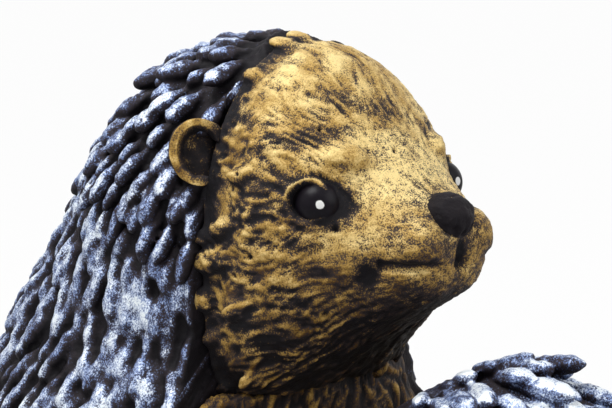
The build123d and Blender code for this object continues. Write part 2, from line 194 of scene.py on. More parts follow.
def dab(u, v, middle, sizes):
    return np.exp(-((u - middle[0]) / sizes[0]) ** 2 - ((v - middle[1]) / sizes[1]) ** 2)


def pits(points, count, radius, seed):
    # burst air bubbles in the cast skin
    dice = np.random.default_rng(seed)
    depth = np.zeros(len(points))
    for spot in points[dice.integers(0, len(points), count)]:
        size = radius * dice.uniform(0.5, 1.1)
        depth = np.maximum(depth, np.exp(-((points - spot) ** 2).sum(1) / size ** 2))
    return depth


def flattened(piece, axis, level, reach):
    # the hidden flat side of a casting goes back to few faces
    selectOnly(piece)
    bpy.ops.object.mode_set(mode="EDIT")
    bpy.ops.mesh.select_all(action="DESELECT")
    bpy.ops.mesh.select_mode(type="FACE")
    shape = bmesh.from_edit_mesh(piece.data)
    for face in shape.faces:
        middle = face.calc_center_median()
        face.select_set(abs(middle[axis] - level) < reach and abs(face.normal[axis]) > 0.9)
    bmesh.update_edit_mesh(piece.data)
    bpy.ops.mesh.dissolve_limited(angle_limit=math.radians(12))
    bpy.ops.mesh.select_mode(type="VERT")
    bpy.ops.object.mode_set(mode="OBJECT")


def finished(piece, slot, material, *nodes):
    piece.data.materials.clear()
    piece.data.materials.append(material)
    for polygon in piece.data.polygons:
        polygon.use_smooth = True
    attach(piece, "root")
    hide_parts(*nodes)
    piece.data.calc_loop_triangles()
    print(piece.name, len(piece.data.loop_triangles), "triangles")


class Wire:
    # one output socket; sums on it add Math nodes
    def __init__(self, tree, socket):
        self.tree = tree
        self.socket = socket

    def maths(self, operation, *terms):
        return self.tree.add("Math", {"operation": operation}, dict(enumerate(terms)))

    def __add__(self, other):
        return self.maths("ADD", self, other)

    __radd__ = __add__

    def __sub__(self, other):
        return self.maths("SUBTRACT", self, other)

    def __rsub__(self, other):
        return self.maths("SUBTRACT", other, self)

    def __mul__(self, other):
        return self.maths("MULTIPLY", self, other)

    __rmul__ = __mul__

    def either(self, other):
        return self.maths("MAXIMUM", self, other)

    def held(self):
        return self.tree.add("Clamp", {}, {"Value": self})


class NodeTree:
    def __init__(self, tree):
        self.tree = tree
        tree.nodes.clear()

    def add(self, kind, settings=None, inputs=None, output=0):
        node = self.tree.nodes.new("ShaderNode" + kind)
        for name, value in (settings or {}).items():
            if name == "stops":
                while len(node.color_ramp.elements) < len(value):
                    node.color_ramp.elements.new(0.5)
                for element, (position, colour) in zip(node.color_ramp.elements, value):
                    element.position = position
                    element.color = (*colour, 1)
            else:
                setattr(node, name, value)
        for name, value in (inputs or {}).items():
            self.feed(node.inputs[name], value)
        return Wire(self, node.outputs[output]) if node.outputs else None

    def feed(self, socket, value):
        if isinstance(value, Wire):
            self.tree.links.new(value.socket, socket)
        else:
            socket.default_value = value


class Paint(NodeTree):
    def __init__(self, name):
        self.material = bpy.data.materials.new(name)
        self.material.use_nodes = True
        super().__init__(self.material.node_tree)
        self.shader = self.add("BsdfPrincipled")
        self.add("OutputMaterial", {}, {"Surface": self.shader})
        self.place = self.add("TexCoord", output="Object")

    def set(self, **values):
        for name, value in values.items():
            self.feed(self.shader.socket.node.inputs[name.replace("_", " ")], value)

    def grain(self, scale, detail=2, roughness=0.5):
        inputs = {"Vector": self.place, "Scale": scale, "Detail": detail, "Roughness": roughness}
        return self.add("TexNoise", {}, inputs)

    def kept(self, name):
        return self.add("Attribute", {"attribute_name": name}, output="Fac")

    def mixed(self, share, first, second):
        inputs = {0: share, 6: first, 7: second}
        return self.add("Mix", {"data_type": "RGBA"}, inputs, output=2)

    def bump(self, height, strength, distance):
        inputs = {"Height": height, "Strength": strength, "Distance": distance}
        return self.add("Bump", {}, inputs)

    def worn(self, colour, grit, look):
        # roughness and bumps follow the same grit
        self.set(Base_Color=colour, Roughness=look["roughness"] + grit * look["spread"])
        self.set(Specular_IOR_Level=look["shine"])
        self.set(Normal=self.bump(grit, look["bump"], look["bumpDepth"]))
        return self.material


def brushedPaint(name, look):
    # a near-black coat with metal paint dragged over its high places
    paint = Paint(name)
    speck = paint.grain(look["speckScale"], 4, 0.7)
    patch = paint.grain(look["patchScale"], 3, 0.6)
    brush = paint.kept("brush")
    broken = (speck - 0.5) * look["speckAmount"] + (patch - 0.5) * look["patchAmount"]
    reach = broken + brush - look["threshold"]
    cover = (reach * look["contrast"] + 0.5).held()
    tone = paint.grain(look["toneScale"], 3, 0.6)
    thick = (paint.kept("tone") - 0.5) * look["pieceTone"] + (tone - 0.5) * look["toneAmount"]
    thick = (thick + reach * look["body"] + look["lift"]).held()
    metal = paint.add("ValToRGB", {"stops": look["metal"]}, {"Fac": thick})
    shade = (brush * look["shadeBrush"] + patch * look["shadePatch"] - look["shadeFrom"]).held()
    ground = paint.mixed(shade, (*look["dark"], 1), (*look["darkLight"], 1))
    paint.set(Base_Color=paint.mixed(cover, ground, metal), Metallic=cover * look["metallic"])
    paint.set(Roughness=look["darkRoughness"] + cover * (look["metalRoughness"] - look["darkRoughness"]))
    paint.set(Specular_IOR_Level=look["shine"])
    height = speck * look["speckBump"] + paint.grain(look["skinScale"], 2) * look["skinBump"]
    paint.set(Normal=paint.bump(height, 1.0, look["bumpDepth"]))
    return paint.material


silverLook = dict(
    speckScale=2000, patchScale=330, toneScale=170, skinScale=560,
    threshold=0.5, contrast=3.8, speckAmount=1.6, patchAmount=0.75,
    body=1.7, lift=0.27, toneAmount=1.0, pieceTone=0.4,
    dark=(0.005, 0.004, 0.006), darkLight=(0.050, 0.038, 0.045),
    shadeBrush=2, shadePatch=0.7, shadeFrom=0.5,
    metal=((0, (0.034, 0.052, 0.13)), (0.42, (0.21, 0.30, 0.56)), (1, (0.90, 0.96, 1.0))),
    metallic=0.35, darkRoughness=0.6, metalRoughness=0.42, shine=0.16,
    speckBump=0.5, skinBump=0.9, bumpDepth=0.35 * mm)
goldLook = dict(
    speckScale=2300, patchScale=320, toneScale=130, skinScale=620,
    threshold=0.5, contrast=3.9, speckAmount=2.3, patchAmount=0.8,
    body=0.6, lift=0.36, toneAmount=1.1, pieceTone=1.0,
    dark=(0.006, 0.005, 0.007), darkLight=(0.054, 0.040, 0.042),
    shadeBrush=2, shadePatch=0.7, shadeFrom=0.5,
    metal=((0, (0.115, 0.056, 0.011)), (0.45, (0.47, 0.29, 0.075)), (1, (0.93, 0.72, 0.32))),
    metallic=0.25, darkRoughness=0.62, metalRoughness=0.45, shine=0.18,
    speckBump=0.8, skinBump=0.8, bumpDepth=0.35 * mm)
silverQuills = brushedPaint("silver brushed quills", silverLook)
goldFur = brushedPaint("gold brushed fur", goldLook)
print("coat paints mixed")


eyeLook = dict(
    black=(0.004, 0.003, 0.005, 1), worn=(0.012, 0.010, 0.014, 1), dot=(0.92, 0.92, 0.90, 1),
    grimeScale=350, wobbleScale=600, wobble=0.5, dotSharpness=6,
    roughness=0.25, spread=0.2, shine=0.09, bump=0.6, bumpDepth=0.15 * mm)


def eyePaint(name, dots, radius, look):
    # glossy black with a white dot dabbed on
    paint = Paint(name)
    wobble = (paint.grain(look["wobbleScale"], 2) - 0.5) * (look["wobble"] * radius)
    mask = 0
    for dot in dots:
        gap = paint.add("VectorMath", {"operation": "DISTANCE"}, {0: paint.place, 1: dot}, output="Value")
        mask = mask + ((radius - gap - wobble) * (look["dotSharpness"] / radius) + 0.5).held()
    grime = paint.grain(look["grimeScale"], 3)
    black = paint.mixed(grime, look["black"], look["worn"])
    return paint.worn(paint.mixed(mask, black, look["dot"]), grime, look)


nosePaintLook = dict(
    black=(0.003, 0.0025, 0.004, 1), lighter=(0.018, 0.014, 0.017, 1),
    worn=(0.050, 0.038, 0.034, 1), wornFrom=0.62, wornContrast=4,
    speckScale=1500, patchScale=220, roughness=0.5, spread=0.25,
    shine=0.12, bump=1.0, bumpDepth=0.35 * mm)


def nosePaint(look):
    paint = Paint("matt black nose")
    speck = paint.grain(look["speckScale"], 3, 0.7)
    patch = paint.grain(look["patchScale"], 2)
    worn = ((speck - look["wornFrom"]) * look["wornContrast"] + (patch - 0.5)).held()
    coat = paint.mixed(patch, look["black"], look["lighter"])
    return paint.worn(paint.mixed(worn, coat, look["worn"]), speck, look)


plasterLook = dict(
    stained=(0.58, 0.54, 0.47, 1), clean=(0.80, 0.77, 0.71, 1), gritScale=1600, stainScale=35,
    roughness=0.8, spread=0.15, shine=0.5, bump=0.6, bumpDepth=0.2 * mm)


def plasterPaint(look):
    paint = Paint("bare cast plaster")
    grit = paint.grain(look["gritScale"], 3, 0.7)
    stain = paint.grain(look["stainScale"], 4)
    return paint.worn(paint.mixed(stain, look["stained"], look["clean"]), grit, look)


quillLook = dict(
    segments=8, rings=8, middle=(0.5, 0, 0),
    bands=(        # where each starts and ends along the quill, its width and its thickness
        (-1, 0.32, 0.62, 0.6), (0.32, 0.48, 0.9, 0.88), (0.6, 2, 1.06, 1.08), (0.8, 0.93, 1.16, 1.1)))


def makeQuill(look):
    # one quill, a unit long from root to tip, as a list of points and faces
    bpy.ops.object.select_all(action="DESELECT")
    bpy.ops.mesh.primitive_uv_sphere_add(
        segments=look["segments"], ring_count=look["rings"], radius=0.5,
        location=look["middle"], rotation=(0, math.pi / 2, 0))
    quill = bpy.context.active_object
    bpy.ops.object.transform_apply(location=True, rotation=True, scale=True)
    bpy.ops.object.mode_set(mode="EDIT")
    for low, high, width, thick in look["bands"]:
        shape = bmesh.from_edit_mesh(quill.data)
        bpy.ops.mesh.select_all(action="DESELECT")
        for point in shape.verts:
            point.select_set(low < point.co.x < high)
        bmesh.update_edit_mesh(quill.data)
        bpy.ops.transform.resize(value=(1, width, thick), center_override=look["middle"])
    bpy.ops.object.mode_set(mode="OBJECT")
    points = readPoints(quill)
    faces = [tuple(polygon.vertices) for polygon in quill.data.polygons]
    bpy.data.objects.remove(quill)
    return points, faces


quillPoints, quillFaces = makeQuill(quillLook)


def quillAt(root, sizes, ways):
    # length, width and thickness, each along its own way
    return np.array(root) + (quillPoints * sizes) @ np.array(ways)


def gathered(shapes):
    points = np.concatenate(shapes)
    starts = range(0, len(points), len(quillPoints))
    return points, [tuple(start + k for k in face) for start in starts for face in quillFaces]


coatForm = dict(
    farOut=0.3, missed=2 * mm,        # where the rays start, and the reach where they miss
    halfTurn=89.2, lowestRow=0.4 * mm)


class Coat:
    # the coat's form, felt from outside with rays in the planes of its quill rows
    def __init__(self, look):
        self.look = look
        self.tree = treeOf(*look["shells"])
        low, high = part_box(look["shells"][0])
        self.seam = low[1] if look["side"] > 0 else high[1]
        rows = []
        for tilt in np.linspace(look["firstTilt"], 90, look["tiltRows"]):
            turn = math.radians(tilt)
            rise = look["turnAhead"] / math.tan(turn)
            rows.append(((0, 0, look["turnHeight"] + rise), (0, math.sin(turn), math.cos(turn)), tilt))
        for height in np.linspace(look["turnHeight"], coatForm["lowestRow"], look["lowRows"])[1:]:
            rows.append(((0, 0, height), (0, 1, 0), 90))
        self.starts = np.array([row[0] for row in rows])
        self.split = int(np.argmin([abs(row[2] - look["splitTilt"]) for row in rows]))
        turns = np.radians(np.linspace(-coatForm["halfTurn"], coatForm["halfTurn"], look["columns"]))
        ahead = np.array([row[1] for row in rows])
        sideways = np.sin(turns)[None, :, None] * (1, 0, 0)
        self.ways = sideways + np.cos(turns)[None, :, None] * ahead[:, None]
        reach = np.array([
            [self.feel(start, way) for way in ways] for start, ways in zip(self.starts, self.ways)])
        for _ in range(look["smoothing"]):
            wide = np.pad(reach, 1, mode="edge")
            around = wide[:-2, 1:-1] + wide[2:, 1:-1] + wide[1:-1, :-2] + wide[1:-1, 2:]
            reach = (around + 4 * reach) / 8
        shares = np.array([self.share(row) for row in range(len(rows))])
        drop = look["drop"][0] + (look["drop"][1] - look["drop"][0]) * shares
        drop -= look["frontRise"] * np.clip(1 - np.arange(len(rows)) / look["frontRows"], 0, 1)
        self.grid = self.starts[:, None] + self.ways * (reach - drop[:, None])[:, :, None]

    def share(self, row):
        return min(max((row - self.look["crownRows"]) / self.look["blendRows"], 0), 1)

    def world(self, points):
        side = self.look["side"]
        return points * (side, side, 1) + (0, self.seam, 0)

    def feel(self, start, way):
        side = self.look["side"]
        outside = self.world(start + way * coatForm["farOut"])
        inwards = Vector(way * (-side, -side, -1))
        spot, _, _, distance = self.tree.ray_cast(Vector(outside), inwards)
        return coatForm["farOut"] - distance if spot else coatForm["missed"]

    def spot(self, row, column):
        rows, columns = self.grid.shape[:2]
        row, column = min(max(row, 0), rows - 1.001), min(max(column, 0), columns - 1.001)
        i, j = int(row), int(column)
        u, v = row - i, column - j
        corners = self.grid[i:i + 2, j:j + 2]
        near = corners[0, 0] * (1 - v) + corners[0, 1] * v
        far = corners[1, 0] * (1 - v) + corners[1, 1] * v
        return near * (1 - u) + far * u

    def bearings(self, row, column):
        along = self.spot(row + 1, column) - self.spot(row - 1, column)
        across = self.spot(row, column + 1) - self.spot(row, column - 1)
        along /= norm(along)
        up = np.cross(across, along)
        up /= norm(up)
        if up @ (self.spot(row, column) - self.starts[min(int(row), len(self.starts) - 1)]) < 0:
            up = -up
        return along, np.cross(up, along), up

    def body(self, first, last):
        # closed solid between two rows
        rows = self.grid[first:last + 1]
        count, columns = rows.shape[:2]
        points = np.concatenate([rows.reshape(-1, 3), self.starts[first:last + 1]])
        faces = []
        for i in range(count - 1):
            near, far = i * columns, (i + 1) * columns
            faces += [(near + j, near + j + 1, far + j + 1, far + j) for j in range(columns - 1)]
            middle, end = count * columns + i, columns - 1
            faces += [(near, far, middle + 1, middle), (near + end, far + end, middle + 1, middle)]
        for i in (0, count - 1):
            start, middle = i * columns, count * columns + i
            faces += [(start + j, start + j + 1, middle) for j in range(columns - 1)]
        return self.world(points), faces


layLook = dict(firstRow=0.15, stagger=(0.75, 0.25), jitter=(0.14, 0.22), earAhead=5 * mm)
growLook = dict(
    seamSize=0.6, seamPitch=0.45,        # of the quills at the seam, against the full-grown ones
    stretch=0.22, swell=0.18, lowest=0.3 * mm, toneSpots=(0.3, 0.6, 0.9))


def layQuills(coat, seed):
    # rows of staggered quills, left out where the last ones are too near
    look = coat.look
    dice = random.Random(seed)
    ridge = coat.grid[:, coat.grid.shape[1] // 2]
    lengths = np.concatenate([[0], np.cumsum(norm(np.diff(ridge, axis=0), axis=1))])
    quills, roots = [], []
    for count in range(int(lengths[-1] / look["rowStep"])):
        target = (count + layLook["firstRow"]) * look["rowStep"]
        row = np.interp(target, lengths, np.arange(len(lengths)))
        i = min(int(row), len(coat.grid) - 2)
        arch = coat.grid[i] * (1 - row + i) + coat.grid[i + 1] * (row - i)
        widths = np.concatenate([[0], np.cumsum(norm(np.diff(arch, axis=0), axis=1))])
        places = max(1, int(widths[-1] / look["acrossStep"]))
        for k in range(places):
            share = (k + layLook["stagger"][count % 2]) / places
            column = np.interp(share * widths[-1], widths, np.arange(len(widths)))
            aside, ahead = (dice.uniform(-most, most) for most in layLook["jitter"])
            column += aside * look["acrossStep"] / (widths[-1] / len(widths))
            place = row + ahead * look["rowStep"] / (lengths[-1] / len(lengths))
            point = coat.spot(place, column)
            along, across, up = coat.bearings(place, column)
            middle = coat.world(point + along * layLook["earAhead"])
            if any(norm(middle - ear) < look["earReach"] for ear in look["ears"]):
                continue
            if quills:
                gap = point - np.array(roots)
                near = (gap @ along / look["keepAlong"]) ** 2 + (gap @ across / look["keepAcross"]) ** 2
                near += (gap @ up / look["keepAlong"]) ** 2
                if near.min() < 1:
                    continue
            roots.append(point)
            turn, stretch, tip = (dice.uniform(-1, 1) for _ in range(3))
            quills.append((place, column, turn, stretch, tip, dice.random()))
    return quills


def quillCloud(coat, quills, first, last):
    look, grow = coat.look, growLook
    shapes, middles, tones = [], [], []
    for row, column, turn, stretch, tip, tone in quills:
        if not first <= row < last:
            continue
        straight, side, up = coat.bearings(row, column)
        angle = math.radians(look["turnJitter"]) * turn
        along = straight * math.cos(angle) + side * math.sin(angle)
        across = side * math.cos(angle) - straight * math.sin(angle)
        share = coat.share(row)
        width, thick, length, pitch = (
            near + (far - near) * share for near, far in zip(look["crown"], look["back"]))
        grown = min(row / look["growRows"], 1)
        young = 1 - grown
        width, thick, length = (size * (grown + grow["seamSize"] * young) for size in (width, thick, length))
        pitch = math.radians(pitch * (grown + grow["seamPitch"] * young) + look["pitchJitter"] * tip)
        ahead = along * math.cos(pitch) + up * math.sin(pitch)
        above = up * math.cos(pitch) - along * math.sin(pitch)
        length *= 1 + grow["stretch"] * stretch
        width *= 1 + grow["swell"] * tip
        root = coat.spot(row, column) - up * look["sink"] - along * look["early"] * grown * length
        shape = quillAt(root, (length, width, thick), (ahead, across, above))
        shape -= up * (quillPoints[:, :1] ** 2) * look["droop"]
        shape[:, 1] = np.maximum(shape[:, 1], grow["lowest"])
        shapes.append(coat.world(shape))
        for spot in grow["toneSpots"]:
            middles.append(coat.world(root + ahead * length * spot))
            tones.append(tone)
    return gathered(shapes), middles, tones


coatSkin = dict(
    broadWave=(5.5 * mm, 0.5), fineWave=(1.9 * mm, 0.18), ridges=(3.6 * mm, 0.5, 0.2),
    pitRadius=1.0 * mm, pitDepth=1.6,
    high=0.22, crest=0.30, raised=((5, 0.5, 0.16),),        # what the brush catches
    dragAndLamp=0.19, blotch=(16 * mm, 0.14), quillSpread=0.16, crestTone=0.4)


def quilledCoat(coat, quills, node, first, last, voxel):
    skin = coatSkin
    bodyPoints, bodyFaces = coat.body(first, last)
    under = newPiece(node + ".under", bodyPoints, bodyFaces)
    outward(under)
    shape, middles, tones = quillCloud(coat, quills, first, last)
    quillSet = newPiece(node + ".quills", *shape)
    outward(quillSet)
    piece = fused(joined(node + "_painted", [quillSet, under]), voxel)
    flattened(piece, 1, coat.seam, 1.6 * voxel)
    flattened(piece, 2, 0, 1.6 * voxel)
    points = relaxed(piece, readPoints(piece), 1)
    normals = readNormals(piece)
    rough = sum(wave(points / size) * height for size, height in (skin["broadWave"], skin["fineWave"]))
    size, height, level = skin["ridges"]
    rough += height * (level - np.abs(wave(points / size + 20)))
    rough -= pits(points, coat.look["pits"], skin["pitRadius"], coat.look["seed"]) * skin["pitDepth"]
    points += normals * (rough * coat.look["rough"])[:, None]
    points[:, 2] = np.maximum(points[:, 2], 0)
    writePoints(piece, points)
    ground = BVHTree.FromPolygons([tuple(point) for point in bodyPoints], bodyFaces)
    found = [ground.find_nearest(point) for point in points.tolist()]
    normals, facing = readNormals(piece), np.array([tuple(spot[1]) for spot in found])
    stands = np.abs(((points - np.array([tuple(spot[0]) for spot in found])) * facing).sum(1))
    crest = step(0.6, 1, np.abs((normals * facing).sum(1)))
    high = step(0.3 * coat.look["relief"], coat.look["relief"], stands)
    brush = coat.look["cover"] + skin["high"] * high + skin["crest"] * high * crest ** 2
    brush += caught(piece, mm, skin["raised"])
    size, height = skin["blotch"]
    # more metal paint on faces turned towards the brush and the key lamp: partly painted light
    brush += skin["dragAndLamp"] * normals @ brushAndLampSide + height * wave(points / size + 9)
    tree = KDTree(len(middles))
    for k, middle in enumerate(middles):
        tree.insert(middle, k)
    tree.balance()
    tone = np.array([tones[tree.find(point)[1]] for point in points.tolist()])
    keepValue(piece, "brush", brush + (tone - 0.5) * skin["quillSpread"])
    keepValue(piece, "tone", tone + (crest - tone) * skin["crestTone"])
    finished(piece, "silver_quills", silverQuills, node)


brushAndLampSide = np.array([-0.45, -0.25, 0.85])        # where the dry brush came from, which is also the key lamp's side: faces turned this way take more metal paint, partly painted light
motherCoatLook = dict(
    shells=("mother_crown_shell", "mother_back_shell"), side=1, seed=4, voxels=(0.66 * mm, 1.12 * mm),
    turnAhead=82 * mm, turnHeight=110 * mm, firstTilt=44.5, splitTilt=70,
    tiltRows=52, lowRows=40, columns=79, smoothing=16, drop=(1.8 * mm, 1.8 * mm),
    rowStep=7.4 * mm, acrossStep=6.6 * mm, keepAlong=6.4 * mm, keepAcross=3.9 * mm,
    crownRows=18, blendRows=24, growRows=3, frontRise=0, frontRows=10, cover=-0.05,
    crown=(6.2 * mm, 5.4 * mm, 15.5 * mm, 16), back=(5.3 * mm, 4.6 * mm, 18.5 * mm, 11),
    sink=0.5 * mm, early=0.3, droop=0.5 * mm, pitchJitter=4, turnJitter=12,
    rough=1 * mm, relief=3.4 * mm, pits=16,
    ears=[middleOf("mother_right_ear"), middleOf("mother_left_ear")], earReach=11.5 * mm)
youngCoatLook = dict(
    shells=("young_crown_shell", "young_back_shell"), side=-1, seed=9, voxels=(0.5 * mm, 0.78 * mm),
    turnAhead=36 * mm, turnHeight=62 * mm, firstTilt=44.5, splitTilt=60,
    tiltRows=46, lowRows=30, columns=61, smoothing=10, drop=(3.0 * mm, 1.8 * mm),
    rowStep=7.0 * mm, acrossStep=6.6 * mm, keepAlong=6.2 * mm, keepAcross=4.4 * mm,
    crownRows=20, blendRows=26, growRows=7, frontRise=3.2 * mm, frontRows=15, cover=0.14,
    crown=(6.6 * mm, 5.6 * mm, 21 * mm, 13), back=(6.0 * mm, 5.0 * mm, 18 * mm, 13),
    sink=0.5 * mm, early=0.3, droop=0.3 * mm, pitchJitter=5, turnJitter=13,
    rough=0.85 * mm, relief=3.0 * mm, pits=8,
    ears=[middleOf("young_right_ear"), middleOf("young_left_ear")], earReach=6 * mm)

for who, look in (("mother", motherCoatLook), ("young", youngCoatLook)):
    coat = Coat(look)
    quills = layQuills(coat, look["seed"])
    crownVoxel, backVoxel = look["voxels"]
    print(who, "coat:", len(quills), "quills")
    quilledCoat(coat, quills, who + "_crown_shell", 0, coat.split, crownVoxel)
    quilledCoat(coat, quills, who + "_back_shell", coat.split, len(coat.grid) - 1, backVoxel)


def furFinished(piece, node, brush, tone):
    keepValue(piece, "brush", brush)
    keepValue(piece, "tone", tone)
    finished(piece, "gold_fur", goldFur, node)


strokeForm = dict(bendSize=16 * mm, bend=0.09, drift=(0.8, 0.5, 0.3), narrow=(2.1, 0.7, 5))


def strokes(points, centre, look):
    # fur drawn away from a centre in wavy ridges, broad ones and narrow ones
    gap = points - centre
    reach = norm(gap, axis=1)
    way = gap / reach[:, None]
    drawn = []
    for finer, shorter, shift in ((1, 1, 0), strokeForm["narrow"]):
        seed = look["seed"] + shift
        bend = np.stack([wave(points / strokeForm["bendSize"] + seed + k) for k in range(3)], 1)
        drift = reach[:, None] / (look["along"] * shorter) * strokeForm["drift"]
        drawn.append(wave((way + bend * strokeForm["bend"]) * (look["across"] * finer) + drift + seed))
    return drawn


motherFaceLook = dict(
    ahead=-1, voxel=0.62 * mm, unit=1.0, seed=3, across=30, along=17 * mm,
    tufts=dict(rows=(2.5, 8.5, 14.5), gap=9.5, sizes=(11, 6.2, 3.0), seed=21))
youngFaceLook = dict(
    ahead=1, voxel=0.45 * mm, unit=0.56, seed=8, across=22, along=10 * mm,
    tufts=dict(rows=(2.5, 7.5), gap=7, sizes=(8.5, 5, 3.2), seed=22))
tuftForm = dict(
    headRadius=42, turnJitter=0.3, depthJitter=1.4, leftOut=(0.25, 0.2),
    brow=(0.6, -0.25), earClear=13,        # these stay free
    fall=-0.45, sway=0.3, rise=0.22, root=(0.45, 0.25), sizes=(0.75, 1.2))


def tufts(node, seam, ahead, unit, look):
    # short fur lumps round the edge of the face, lying back towards the quills
    form = tuftForm
    dice = random.Random(look["seed"])
    tree = treeOf(node)
    middle = middleOf(node)
    ears = [middleOf(node.replace("face", side + "_ear")) for side in ("right", "left")]
    shapes = []
    for count, row in enumerate(look["rows"]):
        steps = int(2 * math.pi * form["headRadius"] / look["gap"])
        for k in range(steps):
            jitter = dice.uniform(-form["turnJitter"], form["turnJitter"])
            turn = 2 * math.pi * (k + 0.5 * (count % 2) + jitter) / steps
            onBrow = math.cos(turn) > form["brow"][0] and math.sin(turn) * -ahead > form["brow"][1]
            if dice.random() < form["leftOut"][0] + form["leftOut"][1] * count or (count > 0 and onBrow):
                continue
            out = Vector((math.sin(turn), 0, math.cos(turn)))
            depth = seam + ahead * unit * (row + dice.uniform(-form["depthJitter"], form["depthJitter"]))
            start = Vector((0, depth, middle[2])) + out * 0.2
            spot, normal, _, _ = tree.ray_cast(start, -out)
            if spot is None or any((spot - Vector(ear)).length < form["earClear"] * unit for ear in ears):
                continue
            sway, lean = (dice.uniform(-form["sway"], form["sway"]) for _ in range(2))
            along = Vector((sway, -ahead, form["fall"] + lean))
            along = (along - normal * along.dot(normal)).normalized()
            across, up = normal.cross(along), normal
            forward = (along + up * form["rise"]).normalized()
            size = unit * dice.uniform(*form["sizes"])
            length, width, thick = np.array(look["sizes"]) * size
            root = spot - along * (form["root"][0] * length) - up * (form["root"][1] * thick)
            shapes.append(quillAt(root, (length, width, thick), (forward, across, up)))
    piece = newPiece(node + ".tufts", *gathered(shapes))
    outward(piece)
    return piece


pitRadius = 0.85
faceFillers = dict(right_eye=1.03, left_eye=1.03, nose=0.86)        # sockets are filled, then carved
eyeForm = dict(
    # millimetres from the eye's middle in its own plane: towards the nose, then up
    back=4.9, front=6.9, above=4.7, below=5.2, taper=0.02, least=2.4,
    depth=3.4, edge=(0.70, 1.02),
    # hoops round the opening: height, how far out, width
    lid=(0.9, 1.10, 0.09), crease=(0.8, 1.42, 0.17), ring=(0.7, 1.22, 0.2), farRing=1.3,
    farBrow=(0.8, (1, 10), (11, 5.5)), brow=(0.7, (1.5, 10.8), (9, 3.6)),
    hollow=(1.2, (9.5, -0.5), (4, 4)), softBrow=((1.5, 9.5), (13, 6)))
muzzleForm = dict(
    # heights, then centres and sizes from the nose's middle: to the side, ahead, up
    softened=((1, (12, -2, -4), (9, 9, 4.5)), (0.8, (9, 0, -13), (8, 9, 3.5))),
    farSoftened=((1.2, (15, -1, -12), (8, 10, 6)),),
    farLip=((1.1, (14, -1, -10.8), (6, 8, 2.6)),),
    relief=(
        (0.6, (10.5, 0.5, -7.0), (5.5, 6.5, 4.5)),        # whisker pads
        (-2.0, (0, 4, -8.6), (1.7, 9, 3.2)),        # groove under the nose
        (-2.8, (0, 4, -12.0), (2.3, 9, 1.9)),        # mouth
        (-1.9, (20.5, -9.5, -14.5), (2.6, 4.0, 3.6)),        # its corners
        (1.4, (24.5, -14, -11), (4.5, 5, 5)),        # cheeks beside them
        (0.9, (6, 1, -19), (7, 7, 3.4)),        # lower lip
        (-1.1, (0, -4, 8.5), (9, 7, 3.2))))        # bridge
furForm = dict(
    start=(42, 4),        # of the strokes, before and under it
    cheek=(24, 50), forehead=(12, 30), foreheadShare=0.6,
    lumps=((7.5, 3, 0.8), (3.2, 0, 0.35)),        # their size, a shift and how high they are
    broad=(0.55, 0.10), narrow=(0.34, 0.15), lump=(0.3, 0.10),        # more on the cheeks, and anywhere
    fine=(1.5, 0.18), eyeClear=1.25, seamClear=(-1, 3.5), pits=26, pitDepth=1.5)
faceBrush = dict(
    cover=0.60, cheek=-0.06, raised=((4, 0.10, 0.07), (18, 0.6, 0.16)), dragAndLamp=0.12,
    strokes=(0.30, 0.12), narrow=0.7, edge=(1, 7.5), edgeTuft=0.75, edgeBare=0.62,
    bareSize=(15, 15, 5.5), bare=(0.22, 0.16), bareFrom=(0.05, 0.4), bareReach=(14, 30),
    # crease is painted shade in the crease between the upper lid and the brow
    eyePatch=(1.1, (2.2, -0.2), (7.9, 6.2), 0.98), crease=0.4, lid=0.9,
    # jaw is painted shade low on the face, under the chin
    eyeStreak=(0.3, (-15, -1), (8, 2.2)), under=0.46, jawShadow=(0.16, -52, -22),
    # muzzle is painted shade round and beside the nose, on the whisker pads, in the groove and mouth under
    # it, in the mouth's corners and high on the bridge
    muzzle=(
        (-0.14, (9, 0, -3), (12, 9, 8)), (-0.45, (0, 0, 0), (8.8, 9, 8.8)), (-0.16, (12, -2, -7), (8, 8, 5)),
        (-0.6, (0, 3, -10.0), (2.4, 9, 5)), (-0.7, (20.5, -9.5, -14.5), (2.6, 4, 5)),
        (-0.14, (0, -12, 24), (6, 16, 14))),
    # the metal paint turns lighter on faces turned up: painted light from above
    tone=0.36, lumpTone=0.3, topLitTone=0.36, highlightTone=0.6,
    # glow is a painted highlight on the bridge of the nose and on the muzzle's side
    glow=((1, (5, -10, 13), (13, 14, 9)), (0.6, (16, -10, -5), (10, 12, 4))))


def hoop(reach, at, width):
    return np.exp(-((reach - at) / width) ** 2)


def eyePlane(points, normals, mirrored, eye, ahead, unit):
    # each point's place in the plane that the eye looks out of, towards the nose and up
    flip = np.stack([np.sign(points[:, 0]) * normals[:, 0], normals[:, 1] * ahead, normals[:, 2]], 1)
    facing = flip[np.argmin(((mirrored - eye) ** 2).sum(1))]
    facing = facing / norm(facing)
    rise = np.array([0, 0, 1]) - facing * facing[2]
    rise /= norm(rise)
    run = np.cross(rise, facing)
    if run[1] < 0:
        run = -run
    gap = (mirrored - eye) / unit
    u, v, w = gap @ run, gap @ rise, gap @ facing
    near = (w > -8) & (np.abs(u) < 20) & (np.abs(v) < 20)
    return np.where(near, u, 99), np.where(near, v, 99)


